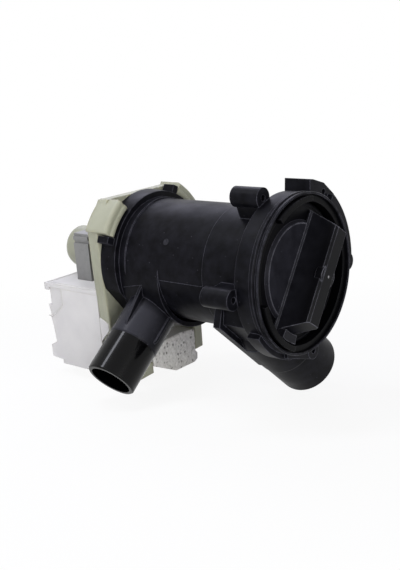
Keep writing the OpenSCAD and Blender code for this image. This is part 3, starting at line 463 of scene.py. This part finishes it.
# Skin on the coil cover's nose: the pale casting resin that closes the cover's front below the pump
# chamber. It was poured and set with bubbles, so it is lumpy, pitted and runs in faint upright folds.
nose_y = 110
nose_outline = ((-9.2, -64), (-9.2, -78.5), (13, -89), (33.5, -89), (35.2, -87.5), (35.2, -64), (20, -62.5))
nose_left, nose_right = min(x for x, z in nose_outline), max(x for x, z in nose_outline)
nose_low, nose_high = min(z for x, z in nose_outline), max(z for x, z in nose_outline)
nose_w, nose_h = nose_right - nose_left, nose_high - nose_low
skin_step, skin_t, skin_least, border = 0.3, 0.7, 0.03, 1.4
lump_w, lump_h, grit_w, grit_h = 2.6, 0.4, 1.1, 0.16
bubble_gap, bubble_share, bubble_change, bubble_drift = 3.6, 0.31, 0.1, 6
fold_gap, fold_sway, sway_w, sway_h = 6.2, 5, 8, 5
crease_w, crease_drift, crease_share = 0.2, 4, 0.55
dent_depth, bubble_fill, bubble_round = 0.55, 1.2, 0.6
resin_skin = bmesh.new()
bmesh.ops.create_grid(resin_skin, x_segments=round(nose_w / skin_step),
                      y_segments=round(nose_h / skin_step), size=0.5)
bmesh.ops.scale(resin_skin, verts=resin_skin.verts, vec=(nose_w, nose_h, 1))
bmesh.ops.translate(resin_skin, verts=resin_skin.verts,
                    vec=((nose_left + nose_right) / 2, (nose_low + nose_high) / 2, 0))
sides = []
for (x, z), (next_x, next_z) in zip(nose_outline, nose_outline[1:] + nose_outline[:1]):
    corner, run = Vector((x, z, 0)), Vector((next_x - x, next_z - z, 0)).normalized()
    sides.append((corner, Vector((run.y, -run.x, 0))))
    bmesh.ops.bisect_plane(resin_skin, geom=resin_skin.verts[:] + resin_skin.edges[:] + resin_skin.faces[:],
                           plane_co=corner, plane_no=sides[-1][1], clear_outer=True)
# Each noise is read in a layer of its own, the middle number, so that no two of them run alike.
hollow = resin_skin.verts.layers.float.new("hollow")
for vert in resin_skin.verts:
    x, z = vert.co.x, vert.co.y
    edge_in = min(-(vert.co - corner).dot(out) for corner, out in sides)
    taper = min(1, max(0, edge_in) / border)
    lumps = lump_h * noise.noise((x / lump_w, 0, z / lump_w))
    lumps += grit_h * noise.noise((x / grit_w, 5, z / grit_w))
    bubble_r = bubble_share + bubble_change * noise.noise((x / bubble_drift, 3, z / bubble_drift))
    bubble = max(0, 1 - noise.voronoi((x / bubble_gap, 2, z / bubble_gap))[0][0] / bubble_r)
    fold = abs(sin(pi * (x + fold_sway * noise.noise((x / sway_w, 9, z / sway_h))) / fold_gap))
    broken = max(0, 0.5 + noise.noise((x / crease_drift, 7, z / crease_drift)))
    crease = max(0, 1 - fold / crease_w) * broken
    dent = min(1, bubble_fill * bubble ** bubble_round + crease_share * crease)
    height = taper ** 0.5 * max(skin_least, skin_t + lumps - dent_depth * dent)
    vert[hollow] = dent
    vert.co = in_motor(x, nose_y - height, z)
casting_resin = moulded("pitted_casting_resin", "#d6d3cf", "#f6f4f1", "#e6e4e1", rough=0.6, level=0.3,
                        cloud=1.6, grain=0.5, depth=0.06)
tree = casting_resin.node_tree
skin = tree.nodes["Principled BSDF"]
# The dents and creases are coloured darker, the deeper they are.
dents = add(tree, "ShaderNodeAttribute", attribute_name="hollow")
darker_in_dents = add(tree, "ShaderNodeMix", {0: dents.outputs["Fac"], 6: fed_by(skin.inputs["Base Color"]),
                                     7: linear("#6b6762")}, data_type="RGBA")
tree.links.new(darker_in_dents.outputs[2], skin.inputs["Base Color"])
settle("nose_resin", resin_skin, casting_resin, "pump")

# Seals, bush rings and stop buffers: nitrile rubber, pressed in heated moulds, dull and slightly dusty.
# They are pushed into grooves, or round the piece that they hold.
nitrile = moulded("nitrile_rubber", "#191919", "#222222", "#2c2c2c", rough=0.72, level=0.3, cloud=5,
                  grain=0.3)
finish(nitrile, "cap_seal", "pump_seal", "shaft_seal", "front_bush_ring", "rear_bush_ring", "stop_buffers")

# Windings: enamelled copper wire laid turn by turn round each bobbin, so its side shows fine even ridges.
# The wire is drawn twice as thick as it is, because the real turns are too fine to show.
wire_d, wire_relief = 0.5, 0.2
wire, tree, skin, place = start_material("enamelled_copper_wire")
turns = add(tree, "ShaderNodeTexWave", {"Vector": place, "Scale": wave_length / (wire_d * mm)},
            bands_direction="Z").outputs["Fac"]
# Each turn is painted dark in its groove and light on its crest, as painted shade and highlight.
enamel_and_shade = add(tree, "ShaderNodeMix", {0: turns, 6: linear("#5a2410"), 7: linear("#b0622f")}, data_type="RGBA")
relief = add(tree, "ShaderNodeBump", {"Height": turns, "Distance": wire_relief * mm})
tree.links.new(enamel_and_shade.outputs[2], skin.inputs["Base Color"])
tree.links.new(relief.outputs[0], skin.inputs["Normal"])
skin.inputs["Metallic"].default_value = 0.8
skin.inputs["Roughness"].default_value = 0.35
finish(wire, "left_winding", "right_winding")


# Shaft, thrust washers and terminal tabs: ground steel and tinned brass, turned or stamped bright.
# Bushes: sintered bronze, porous and soaked with oil. Magnet: pressed ferrite, ground on its round.
# Thermal cut-out: a capsule of brown phenolic that lies on the right winding.
def specked(name, shade, tint, rough, metal, speck):
    """A bare metal, ceramic or resin: two tones in fine specks, with the roughness of its last tool."""
    rough_change, speck_depth = 0.08, 0.01
    material, tree, skin, place = start_material(name)
    specks = add(tree, "ShaderNodeTexNoise", {"Vector": place, "Scale": 1 / (speck * mm), "Detail": 4})
    colour = add(tree, "ShaderNodeMix", {0: specks.outputs[0], 6: linear(shade), 7: linear(tint)},
                 data_type="RGBA")
    shine = add(tree, "ShaderNodeMapRange", {0: specks.outputs[0], 3: rough - rough_change,
                                             4: rough + rough_change})
    relief = add(tree, "ShaderNodeBump", {"Height": specks.outputs[0], "Distance": speck_depth * mm,
                                          "Strength": 0.5})
    tree.links.new(colour.outputs[2], skin.inputs["Base Color"])
    tree.links.new(shine.outputs[0], skin.inputs["Roughness"])
    tree.links.new(relief.outputs[0], skin.inputs["Normal"])
    skin.inputs["Metallic"].default_value = metal
    return material


ground_steel = specked("ground_steel", "#9c9da0", "#b4b5b8", rough=0.25, metal=1.0, speck=0.8)
tinned_brass = specked("tinned_brass", "#a9a79f", "#c2c0b8", rough=0.3, metal=1.0, speck=1.2)
sintered_bronze = specked("sintered_bronze", "#6e4a22", "#95692f", rough=0.5, metal=1.0, speck=0.3)
ferrite = specked("ground_ferrite", "#2b2b2d", "#3a3a3c", rough=0.45, metal=0.0, speck=0.5)
phenolic = specked("brown_phenolic", "#3d2012", "#52301d", rough=0.4, metal=0.0, speck=1.5)
finish(ground_steel, "rotor_shaft", "thrust_washers")
finish(tinned_brass, "terminal_tabs")
finish(sintered_bronze, "front_bush", "rear_bush")
finish(ferrite, "rotor_magnet")
finish(phenolic, "thermal_cutout")


# Studio: a plain pale floor, a white room for what the camera and the gloss see, and four soft lamps.
# The lamp behind gives the black moulding its cool sheen along the top, and the narrow one overhead draws
# the bright streak on the outlet's plain end.
def seen_straight(tree):
    """Is 1 for what the camera, gloss or glass sees, and 0 for the light that falls on the part."""
    path = add(tree, "ShaderNodeLightPath")
    seen = path.outputs["Is Camera Ray"]
    for ray in ("Is Glossy Ray", "Is Transmission Ray"):
        seen = add(tree, "ShaderNodeMath", {0: seen, 1: path.outputs[ray]}, operation="MAXIMUM").outputs[0]
    return seen


floor_half, shadow_near, shadow_far, near_white = 6000, 120, 500, 0.9
floor_mesh = bmesh.new()
bmesh.ops.create_grid(floor_mesh, x_segments=1, y_segments=1, size=floor_half * mm)
bmesh.ops.translate(floor_mesh, verts=floor_mesh.verts, vec=(0, 0, cad_low.z))
floor = bpy.data.objects.new("floor", bpy.data.meshes.new("floor"))
floor_mesh.to_mesh(floor.data)
floor_mesh.free()
bpy.context.scene.collection.objects.link(floor)
pale, tree, skin, place = start_material("pale_floor")
tree.nodes.remove(skin)
reach = add(tree, "ShaderNodeVectorMath", {0: place}, operation="LENGTH")
white = add(tree, "ShaderNodeMapRange", {0: reach.outputs["Value"], 1: shadow_near * mm, 2: shadow_far * mm,
                                         3: near_white, 4: 1.0})
share = add(tree, "ShaderNodeMath", {0: seen_straight(tree), 1: white.outputs[0]}, operation="MULTIPLY")
matt = add(tree, "ShaderNodeBsdfDiffuse", {"Color": linear("#f4f4f4")})
glow = add(tree, "ShaderNodeEmission", {"Color": linear("#ffffff"), "Strength": 1.0})
both = add(tree, "ShaderNodeMixShader", {0: share.outputs[0], 1: matt.outputs[0], 2: glow.outputs[0]})
tree.links.new(both.outputs[0], tree.nodes["Material Output"].inputs["Surface"])
floor.data.materials.append(pale)

room_light, room_white = 0.16, 1.0
world = bpy.data.worlds.new("white_room")
bpy.context.scene.world = world
world.use_nodes = True
tree = world.node_tree
level = add(tree, "ShaderNodeMapRange", {0: seen_straight(tree), 3: room_light, 4: room_white})
tree.links.new(level.outputs[0], tree.nodes["Background"].inputs["Strength"])
tree.nodes["Background"].inputs["Color"].default_value = linear("#ffffff")

middle = Vector((0, 80, -10)) * mm
for name, spot, width, depth, watts, tint in (
        ("back_lamp", (380, 520, 560), 520, 320, 1.85, "#e4e4ff"),
        ("overhead_lamp", (-230, 230, 540), 100, 420, 2.2, "#f2f4ff"),
        ("left_lamp", (-640, 120, 260), 360, 520, 1.4, "#ffffff"),
        ("front_lamp", (-330, -640, 150), 450, 300, 3.3, "#ffffff")):
    lamp = bpy.data.lights.new(name, "AREA")
    lamp.shape = "RECTANGLE"
    lamp.size = width * mm
    lamp.size_y = depth * mm
    lamp.energy = watts
    lamp.color = linear(tint)[:3]
    holder = bpy.data.objects.new(name, lamp)
    holder.location = Vector(spot) * mm
    holder.rotation_euler = (middle - holder.location).to_track_quat("-Z", "Y").to_euler()
    bpy.context.scene.collection.objects.link(holder)

# Camera: left of the cap and a little above it, as in the photo.
# Its place, turn and lens were fitted to the circles that the photo shows.
azimuth, elevation, roll = radians(-49.5), radians(10.7), radians(-0.4)
camera_spot = Vector((-442, -309.5, 93.5)) * mm
right = Vector((cos(azimuth), sin(azimuth), 0))
back = Vector((sin(azimuth) * cos(elevation), -cos(azimuth) * cos(elevation), sin(elevation)))
up = back.cross(right)
tilted_right = cos(roll) * right + sin(roll) * up
tilted_up = cos(roll) * up - sin(roll) * right
turned = Matrix((tilted_right, tilted_up, back)).transposed().to_4x4()
camera = bpy.data.objects.new("camera", bpy.data.cameras.new("camera"))
camera.matrix_world = Matrix.Translation(camera_spot) @ turned
camera.data.sensor_width = 36
camera.data.lens = 56.84
camera.data.clip_start = 10 * mm
bpy.context.scene.collection.objects.link(camera)
bpy.context.scene.camera = camera
bpy.context.scene.view_settings.view_transform = "Standard"
